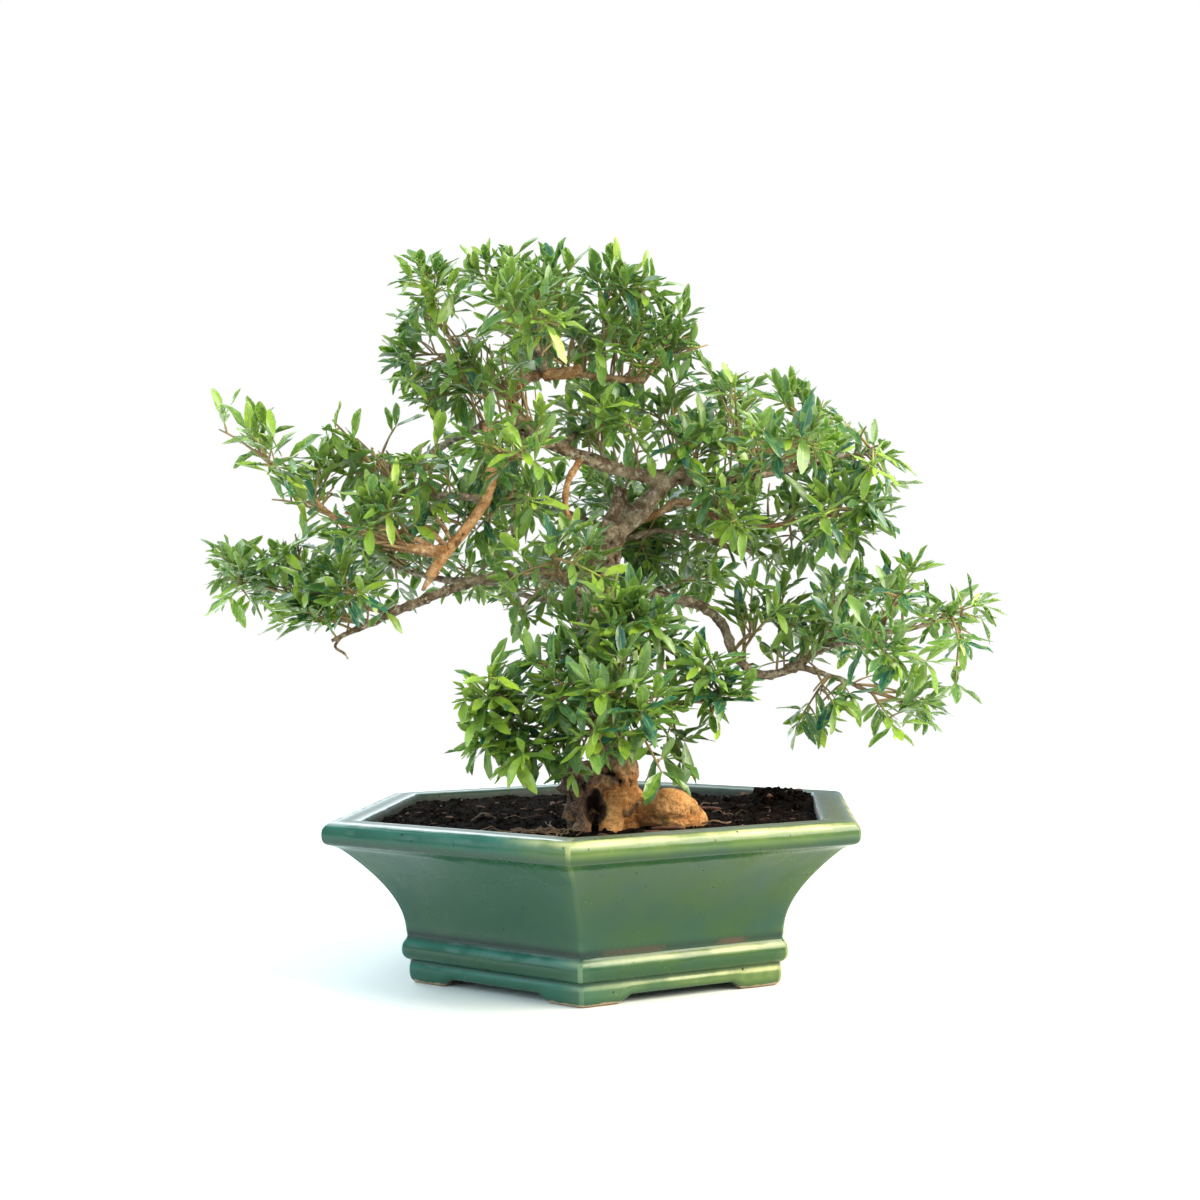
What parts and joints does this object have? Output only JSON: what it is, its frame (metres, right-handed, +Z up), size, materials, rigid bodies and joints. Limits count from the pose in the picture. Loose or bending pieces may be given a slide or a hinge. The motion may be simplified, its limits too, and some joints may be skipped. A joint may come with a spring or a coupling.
{
  "type": "serissa bonsai",
  "caption": "Serissa bonsai with a hollowed trunk base and rounded pads of narrow leaves, rooted in soil in a teal-green glazed hexagonal pot with corner feet.",
  "frame": {"origin": "on the axis of the pot, on the surface that its feet stand on, which is also the bottom centre of the whole object's box", "axes": "+Z up, +X to the right along the long branch, -Y towards the viewer and the trunk base"},
  "size_m": [0.4571, 0.3184, 0.4092],
  "materials": {
    "glaze": "glossy teal-green glaze over stoneware, yellower and lighter on the bands and edges where it runs thin",
    "soil": "dark brown crumbly soil with bark slivers",
    "bark": "rough corky bark, orange-tan at the base and grey-brown above",
    "foliage": "semi-matt leaves, mid to dark green with yellow-green young ones"
  },
  "bodies": {
    "root": {"pot": "glaze", "soil": "soil", "tree_wood": "bark", "spray_crown_1": "foliage", "spray_crown_2": "foliage", "spray_crown_3": "foliage", "spray_crown_4": "foliage", "spray_crown_5": "foliage", "spray_crown_6": "foliage", "spray_crown_7": "foliage", "spray_crown_8": "foliage", "spray_crown_9": "foliage", "spray_shelf_1": "foliage", "spray_shelf_2": "foliage", "spray_shelf_3": "foliage", "spray_shelf_4": "foliage", "spray_shelf_5": "foliage", "spray_shelf_6": "foliage", "spray_shelf_7": "foliage", "spray_shelf_8": "foliage", "spray_middle_1": "foliage", "spray_middle_2": "foliage", "spray_middle_3": "foliage", "spray_low_right_1": "foliage", "spray_low_right_2": "foliage", "spray_low_right_3": "foliage", "spray_low_right_4": "foliage", "spray_low_right_5": "foliage", "spray_low_right_6": "foliage", "spray_low_right_7": "foliage", "spray_low_right_8": "foliage", "spray_mid_left_1": "foliage", "spray_mid_left_2": "foliage", "spray_mid_left_3": "foliage", "spray_mid_left_4": "foliage", "spray_mid_left_5": "foliage", "spray_mid_left_6": "foliage", "spray_low_left_1": "foliage", "spray_low_left_2": "foliage", "spray_low_left_3": "foliage", "spray_low_left_4": "foliage", "spray_low_left_5": "foliage", "spray_low_left_6": "foliage", "spray_inner_1": "foliage", "spray_inner_2": "foliage", "spray_inner_3": "foliage", "spray_inner_4": "foliage", "spray_front_1": "foliage", "spray_front_2": "foliage", "spray_front_3": "foliage", "spray_front_4": "foliage", "spray_front_5": "foliage", "spray_front_6": "foliage", "spray_back_1": "foliage", "spray_back_2": "foliage", "spray_back_3": "foliage", "spray_back_4": "foliage", "spray_back_5": "foliage", "spray_back_6": "foliage", "spray_back_7": "foliage"}
  },
  "joints": []
}
